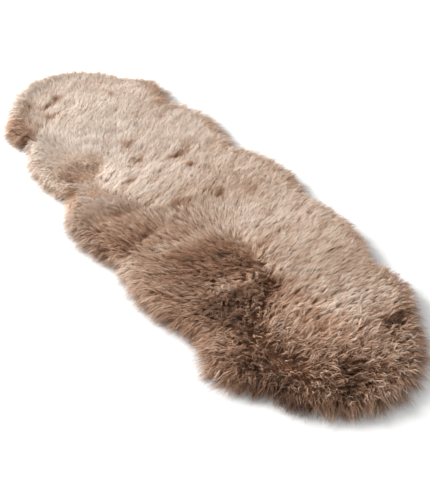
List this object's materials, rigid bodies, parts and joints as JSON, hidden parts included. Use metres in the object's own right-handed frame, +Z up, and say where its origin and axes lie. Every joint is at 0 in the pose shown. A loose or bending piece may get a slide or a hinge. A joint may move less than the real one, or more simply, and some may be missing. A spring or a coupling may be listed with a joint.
{
  "type": "double sheepskin rug",
  "caption": "Long sheepskin rug with a scalloped outline: long-wool pelts sewn end to end, lying flat on the floor with the wool up.",
  "frame": {"origin": "on the floor, under the middle of the rug's box; the seam between the pelts is 11 mm towards -Y", "axes": "+Y along the rug towards the neck of the far pelt, +X across it, +Z up out of the wool"},
  "size_m": [0.6894, 1.798, 0.0546],
  "materials": {
    "wool": "long combed wool, taupe to pale beige, matt with a soft sheen at the tips",
    "suede": "pale suede flesh side of the hide, matt"
  },
  "bodies": {
    "root": {"far_pelt": "wool", "near_pelt": "wool"}
  },
  "joints": []
}
